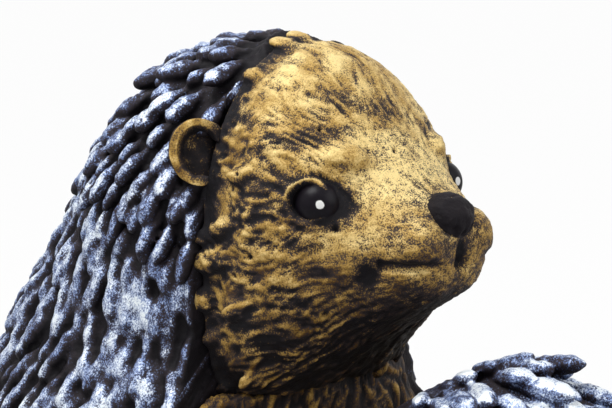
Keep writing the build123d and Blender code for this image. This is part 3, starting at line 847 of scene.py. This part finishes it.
def sculptedFace(who, look):
    node, ahead, unit = who + "_face", look["ahead"], look["unit"] * mm
    parts = [copyOfNode(node, node + ".form")]
    for filler, size in faceFillers.items():
        part = copyOfNode(f"{who}_{filler}", node + "." + filler)
        middle = middleOf(f"{who}_{filler}")
        writePoints(part, middle + (readPoints(part) - middle) * size)
        parts.append(part)
    low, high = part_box(node)
    seam = high[1] if ahead < 0 else low[1]
    parts.append(tufts(node, seam, ahead, unit, look["tufts"]))
    piece = fused(joined(node + "_painted", parts[::-1]), look["voxel"])
    points = relaxed(piece, readPoints(piece), 3)
    shell = treeOf(node)
    stands = np.array([shell.find_nearest(point)[3] for point in points.tolist()]) / unit
    mirrored = np.stack([abs(points[:, 0]), (points[:, 1] - seam) * ahead, points[:, 2]], 1)
    eye, nose = (
        np.array([abs(spot[0]), (spot[1] - seam) * ahead, spot[2]])
        for spot in (middleOf(who + "_left_eye"), middleOf(who + "_nose")))
    writePoints(piece, relaxed(piece, points, 20))
    normals = readNormals(piece)
    u, v = eyePlane(points, normals, mirrored, eye, ahead, unit)
    farSide = points[:, 0] * -ahead > 0

    # eyes: a deep round opening, a thin upper lid behind it, a crease and a brow above
    form = eyeForm
    long = u / np.where(u < 0, form["back"], form["front"])
    tall = np.where(v > 0, form["above"], form["below"]) - form["taper"] * u ** 2
    almond = np.hypot(long, v / tall.clip(form["least"]))
    lift = -form["depth"] * (1 - step(*form["edge"], almond))
    lid = hoop(almond, *form["lid"][1:]) * step(-2, 2, v) * (1 - step(0, 5, u))
    crease = hoop(almond, *form["crease"][1:]) * step(0, 3, v) * step(-5, 3, u)
    ring = hoop(almond, *form["ring"][1:]) * (1 - step(-2, 4, u))
    brow = farSide * dab(u, v, *form["farBrow"][1:])
    points += (relaxed(piece, points, 120) - points) * brow[:, None]
    lift += form["lid"][0] * lid * (1 - farSide) - form["crease"][0] * crease
    lift += (form["ring"][0] + form["farRing"] * farSide) * ring - form["farBrow"][0] * brow
    lift += form["brow"][0] * dab(u, v, *form["brow"][1:])
    lift -= form["hollow"][0] * (1 + farSide) * dab(u, v, *form["hollow"][1:])

    # muzzle: groove under the nose, mouth and its corners
    form = muzzleForm
    spot = (mirrored - nose) / unit
    soft = dab(u, v, *eyeForm["softBrow"]) + relief(spot, form["softened"])
    soft += (points[:, 0] * -ahead > 4 * unit) * relief(spot, form["farSoftened"])
    points += (relaxed(piece, points, 34) - points) * np.clip(soft, 0, 1)[:, None]
    lift += relief(spot, form["relief"]) + farSide * relief(spot, form["farLip"])

    # fur
    form = furForm
    before, under = form["start"]
    centre = (0, seam + ahead * (nose[1] + before * unit), nose[2] - under * unit)
    broad, narrow = strokes(points, centre, look)
    reach = norm(spot, axis=1)
    forehead = step(*form["forehead"], mirrored[:, 2] / unit - eye[2] / unit)
    cheek = step(*form["cheek"], reach) * (1 - form["foreheadShare"] * forehead)
    lumps = sum(wave(points / (size * unit) + shift) * height for size, shift, height in form["lumps"])
    size, height = form["fine"]
    fur = np.polyval(form["broad"], cheek) * broad + np.polyval(form["narrow"], cheek) * narrow
    fur += height * wave(points / (size * unit))
    keepOff = np.exp(-(almond / form["eyeClear"]) ** 4)
    lift += (fur + lumps * np.polyval(form["lump"], cheek)) * (1 - keepOff)
    lift -= form["pitDepth"] * pits(points, form["pits"], pitRadius * unit, look["seed"])
    lift *= step(*form["seamClear"], mirrored[:, 1] / unit)
    points += normals * unit * lift[:, None]
    writePoints(piece, points)

    # what the brush catches
    form = faceBrush
    normals = readNormals(piece)
    bare = wave(points / (unit * np.array(form["bareSize"])) + look["seed"])
    bare = step(*form["bareFrom"], bare) * step(*form["bareReach"], reach)
    edge = 1 - step(*form["edge"], mirrored[:, 1] / unit)
    brush = form["cover"] + form["cheek"] * cheek + caught(piece, unit, form["raised"])
    # more metal paint on faces turned towards the brush and the key lamp: partly painted light
    brush += form["dragAndLamp"] * normals @ brushAndLampSide
    brush += np.polyval(form["strokes"], cheek) * (broad + form["narrow"] * narrow)
    # painted shade round the nose and in the mouth's hollows; bare patches stay dark
    brush += relief(spot, form["muzzle"]) - np.polyval(form["bare"], cheek) * bare
    depth, middle, sizes, scale = form["eyePatch"]
    patch = np.hypot((u - middle[0]) / sizes[0], (v - middle[1]) / sizes[1])
    # the eye's black paint round the opening, painted shade in the crease above the lid, and gold on the lid
    brush -= depth * np.exp(-(patch / scale) ** 3) + form["crease"] * crease - form["lid"] * lid
    brush -= form["eyeStreak"][0] * dab(u, v, *form["eyeStreak"][1:])
    brush += edge * (form["edgeTuft"] * step(1.0, 2.2, stands) - form["edgeBare"])
    # less metal paint on faces turned down: the brush misses them, and painted shade under the head
    brush -= form["under"] * step(0.1, 0.9, -normals[:, 2])
    # painted shade under the chin: less metal paint low on the face
    brush -= form["jawShadow"][0] * (1 - step(*form["jawShadow"][1:], spot[:, 2]))
    # lighter metal on faces turned up: painted light from above
    tone = form["tone"] + lumps * form["lumpTone"] + form["topLitTone"] * normals[:, 2]
    # painted highlight on the bridge of the nose and the muzzle's side
    tone += form["highlightTone"] * relief(spot, form["glow"])
    furFinished(piece, node, brush, tone)


sculptedFace("mother", motherFaceLook)
sculptedFace("young", youngFaceLook)
print("faces sculpted")


noseForm = dict(
    voxel=0.35 * mm, spread=(1.1, 1, 0.95), waves=((1.3, 0.22), (3.4, 0.5)),
    relief=(
        (-0.85, (0, 2, 7), (1.5, 1.7, 1.7)),        # a pit on top
        (-1.4, (3.1, 5.6, -2.4), (1.1, 1.6, 1.3)),        # nostrils
        (0.5, (4.6, 3.6, -3.4), (2.2, 3, 1.6)),        # the rims below them
        (-0.8, (0, 7, -5), (0.7, 2, 3.2))))        # middle groove


def sculptedNose(who, look):
    form = noseForm
    node, unit, ahead = who + "_nose", look["unit"] * mm, look["ahead"]
    piece = fused(copyOfNode(node, node + "_painted"), form["voxel"] * (0.4 + 0.6 * look["unit"]))
    middle = middleOf(node)
    points, normals = readPoints(piece), readNormals(piece)
    spot = (points - middle) * (1, ahead, 1) / unit
    spot[:, 0] = abs(points[:, 0]) / unit
    lift = relief(spot, form["relief"])
    lift += sum(wave(points / (size * unit)) * height for size, height in form["waves"])
    points = middle + (points - middle) * form["spread"]
    writePoints(piece, points + normals * (lift * unit)[:, None])
    finished(piece, "nose_black", noseBlack, node)


noseBlack = nosePaint(nosePaintLook)
sculptedNose("mother", motherFaceLook)
sculptedNose("young", youngFaceLook)


earShape = dict(
    mother=dict(
        ahead=-1, across=10 * mm, rise=12.5 * mm, depth=10 * mm, voxel=0.42 * mm,
        thin=0.45 * mm, narrow=0.88, low=0.80, out=0.9 * mm, up=1.1 * mm),
    young=dict(
        ahead=1, across=5.5 * mm, rise=7 * mm, depth=6 * mm, voxel=0.32 * mm,
        thin=0.2 * mm, narrow=1, low=1, out=0, up=0))
earForm = dict(
    facing=(0.62, 0.76, 0.15), upright=(0, -0.25, 1),        # outwards or aside, ahead, up
    bowl=(0.94, 0.94, 0.32), bowlDeep=0.62, inner=(-0.75, -0.1), innerDeep=0.28,
    ripple=(0.8, 0.12), lumps=(0.35, 0.3), rimFront=(-0.28, -0.06), rimOut=(0.5, 0.72),
    cover=0.08, rim=0.62, lumpCover=0.22, dragAndLamp=0.16, back=0.12, tone=0.42, lumpTone=0.4)


def sculptedEar(who, side, look):
    # the cup gets a floor, a thinner rim and a front edge that sinks into the head
    form, node, ahead = earForm, f"{who}_{side}_ear", look["ahead"]
    ear = copyOfNode(node, node + ".form")
    points = readPoints(ear)
    outside = np.sign(middleOf(node)[0])
    facing = np.multiply(form["facing"], (outside, ahead, 1))
    upright = np.multiply(form["upright"], (1, ahead, 1))
    facing, upright = facing / norm(facing), upright / norm(upright)
    aside = np.cross(upright, facing)
    aside *= np.sign(aside[0] * outside)
    heights = points[:, 2]
    top = points[heights > heights.max() - 0.4 * mm].mean(0)
    bottom = points[heights < heights.min() + 0.4 * mm].mean(0)
    centre = (top + bottom) / 2
    axes = np.stack([aside, upright, facing])
    bpy.ops.mesh.primitive_uv_sphere_add(segments=32, ring_count=16, radius=1)
    bowl = bpy.context.active_object
    sizes = np.multiply(form["bowl"], (look["across"], look["rise"], look["depth"]))
    place = centre - facing * look["depth"] * form["bowlDeep"]
    writePoints(bowl, place + (readPoints(bowl) * sizes) @ axes)
    piece = fused(joined(node + "_painted", [bowl, ear]), look["voxel"])
    points = relaxed(piece, readPoints(piece), 2)
    writePoints(piece, points)
    gap = (points - centre) @ axes.T
    gap *= (look["narrow"], look["low"], 1)
    gap += (look["out"], look["up"], 0)
    inner = 1 - step(*form["inner"], gap[:, 0] / look["across"])
    gap[:, 2] -= inner * form["innerDeep"] * look["depth"]
    radius = np.hypot(gap[:, 0] / look["across"], gap[:, 1] / look["rise"])
    size, height = form["ripple"]
    ripple = step(0.5, 0.9, radius) * wave(points / (size * look["across"]) + 4)
    gap[:, 2] += height * look["depth"] * ripple
    writePoints(piece, centre + gap @ axes)
    normals = readNormals(piece)
    size, height = form["lumps"]
    lumps = wave(points / (size * look["across"]) + 5)
    rim = step(*form["rimFront"], gap[:, 2] / look["depth"]) * step(*form["rimOut"], radius)
    writePoints(piece, readPoints(piece) + normals * ((lumps * height - rim) * look["thin"])[:, None])
    brush = form["cover"] + form["rim"] * rim * (1 - inner) + form["lumpCover"] * lumps
    # more metal paint on faces turned towards the brush and the key lamp, partly painted light, and on the
    # ear's back
    brush += form["dragAndLamp"] * normals @ brushAndLampSide + form["back"] * step(0.2, 0.8, normals @ -facing)
    furFinished(piece, node, brush, form["tone"] + lumps * form["lumpTone"])


for who in ("mother", "young"):
    for side in ("right", "left"):
        sculptedEar(who, side, earShape[who])
print("noses and ears sculpted")


chestLook = dict(
    across=24, along=15 * mm, seed=17, lump=9, lumpHeight=0.8, fur=1.1, cover=0.46, shade=0.3)
limbLook = dict(
    across=16, along=13 * mm, seed=23, lump=8, lumpHeight=0.5, fur=0.9, cover=0.5, shade=0)
bodyFur = dict(
    narrow=0.5, pits=8, pitDepth=1.2, floorClear=(0.5, 4),
    raised=((4, 0.1, 0.07), (20, 0.8, 0.2)), strokes=0.30, narrowStrokes=0.7, dragAndLamp=0.12,
    # lighter metal on faces turned up: painted light from above
    lumpCover=0.2, under=0.2, jawHeight=42, tone=0.3, lumpTone=0.4, topLitTone=0.25)


def furredPiece(node, voxel, unit, centre, look):
    form = bodyFur
    piece = fused(copyOfNode(node, node + "_painted"), voxel)
    points = relaxed(piece, readPoints(piece), 2)
    writePoints(piece, points)
    normals = readNormals(piece)
    broad, narrow = strokes(points, centre, look)
    lumps = wave(points / (look["lump"] * unit) + look["seed"])
    lift = look["fur"] * (broad + form["narrow"] * narrow) + look["lumpHeight"] * lumps
    lift -= form["pitDepth"] * pits(points, form["pits"], pitRadius * unit, look["seed"])
    lift *= step(*form["floorClear"], points[:, 2] / unit)
    writePoints(piece, points + normals * (lift * unit)[:, None])
    normals = readNormals(piece)
    brush = look["cover"] + caught(piece, unit, form["raised"]) + form["lumpCover"] * lumps
    brush += form["strokes"] * (broad + form["narrowStrokes"] * narrow)
    # more metal paint on faces turned towards the brush and the key lamp, partly painted light; less on
    # faces turned down, where the brush misses them and shade falls, partly painted shade
    brush += form["dragAndLamp"] * normals @ brushAndLampSide - form["under"] * step(0.1, 0.9, -normals[:, 2])
    below = (points[:, 2] - points[:, 2].max()) / unit
    jawShadow = look["shade"] * step(-form["jawHeight"], 0, below)        # painted shadow of the head on the top of the chest: less metal paint and a darker tone there
    # lighter metal on faces turned up: painted light from above
    tone = form["tone"] + lumps * form["lumpTone"] + form["topLitTone"] * normals[:, 2] - jawShadow
    furFinished(piece, node, brush - jawShadow, tone)


for who, unit, voxel in (("mother", 1 * mm, 0.8 * mm), ("young", 0.6 * mm, 0.55 * mm)):
    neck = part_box(who + "_chest")[1][2]
    chin = middleOf(who + "_face") * (0, 1, 1)
    furredPiece(who + "_chest", voxel * 1.25, unit, chin, chestLook)
    for side in ("right", "left"):
        shoulder = middleOf(f"{who}_{side}_arm") * (1, 1, 0) + (0, 0, neck)
        furredPiece(f"{who}_{side}_arm", voxel, unit, shoulder, limbLook)
        heel = middleOf(f"{who}_{side}_foot") + (0, 0, 30 * unit)
        furredPiece(f"{who}_{side}_foot", voxel * 0.8, unit, heel, limbLook)
print("chests, arms and feet furred")


# eyes and floors keep their castings
plaster = plasterPaint(plasterLook)
dotLook = dict(mother=(1.15 * mm, -1), young=(0.65 * mm, 1), turn=dict(right=-0.72, left=0.05))
for who in ("mother", "young"):
    radius, ahead = dotLook[who]
    dots = []
    for side, aside in dotLook["turn"].items():
        node = f"{who}_{side}_eye"
        size = (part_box(node)[1][2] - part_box(node)[0][2]) / 2
        turn = np.array([aside, 0.8 * ahead, 0.13])
        if who == "young":
            turn[0] = abs(turn[0]) * np.sign(middleOf(node)[0])
        dots.append(tuple(middleOf(node) + turn / norm(turn) * size))
    paint = eyePaint(who + " glossy eye", dots, radius, eyeLook)
    for side in ("right", "left"):
        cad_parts[f"{who}_{side}_eye"].material_slots[0].material = paint
    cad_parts[who + "_floor"].material_slots[0].material = plaster
print("eyes and floors painted")


stageLook = dict(half=6, floor=(0.86, 0.86, 0.86, 1), roughness=0.9, glow=0.97, sky=0.24)
bpy.ops.mesh.primitive_plane_add(size=2 * stageLook["half"], location=(0, 0, 0))
ground = bpy.context.active_object
ground.name = "pale_floor"
floorPaint = Paint("pale studio floor")
floorPaint.set(Base_Color=stageLook["floor"], Roughness=stageLook["roughness"], Emission_Color=(1, 1, 1, 1))
seen = floorPaint.add("LightPath", output="Is Camera Ray")
glow = floorPaint.add("Emission", {}, {"Color": (1, 1, 1, 1), "Strength": 1.0})
blend = floorPaint.add("MixShader", {}, {0: seen * stageLook["glow"], 1: floorPaint.shader, 2: glow})
floorPaint.feed(floorPaint.tree.nodes["Material Output"].inputs["Surface"], blend)
ground.data.materials.append(floorPaint.material)

world = bpy.data.worlds.new("white tent")
bpy.context.scene.world = world
world.use_nodes = True
tent = NodeTree(world.node_tree)
cameraRay, glossyRay, clearRay = (
    tent.add("LightPath", output=f"Is {kind} Ray")
    for kind in ("Camera", "Glossy", "Transmission"))
sky = tent.add("Background", {}, {"Strength": stageLook["sky"]})
white = tent.add("Background", {}, {"Color": (1, 1, 1, 1)})
mixed = tent.add("MixShader", {}, {0: cameraRay.either(glossyRay).either(clearRay), 1: sky, 2: white})
tent.add("OutputWorld", {}, {"Surface": mixed})

cameraLook = dict(
    azimuth=-45, elevation=10, lens=90, sensor=36, distance=0.430, aim=(-0.0114, -0.0508, 0.1529))
azimuth, elevation = math.radians(cameraLook["azimuth"]), math.radians(cameraLook["elevation"])
back = Vector((
    math.sin(azimuth) * math.cos(elevation), -math.cos(azimuth) * math.cos(elevation), math.sin(elevation)))
right = Vector((0, 0, 1)).cross(back).normalized()
above = back.cross(right)
aim = Vector(cameraLook["aim"])
lens = bpy.data.cameras.new("camera")
lens.lens = cameraLook["lens"]
lens.sensor_width = cameraLook["sensor"]
lens.clip_end = 100
camera = linked("camera", lens)
camera.location = aim + back * cameraLook["distance"]
camera.rotation_euler = back.to_track_quat("Z", "Y").to_euler()
bpy.context.scene.camera = camera

lampLook = dict(
    key=dict(right=-0.40, above=0.85, back=0.35, size=0.5, power=10.5),
    fill=dict(right=0.80, above=0.45, back=0.45, size=0.7, power=3.6))
for name, look in lampLook.items():
    lamp = bpy.data.lights.new(name, "AREA")
    lamp.energy = look["power"]
    lamp.size = look["size"]
    holder = linked(name, lamp)
    holder.location = aim + right * look["right"] + above * look["above"] + back * look["back"]
    holder.rotation_euler = (holder.location - aim).to_track_quat("Z", "Y").to_euler()

bpy.context.scene.view_settings.view_transform = "Standard"
print("stage, lamps and camera set")
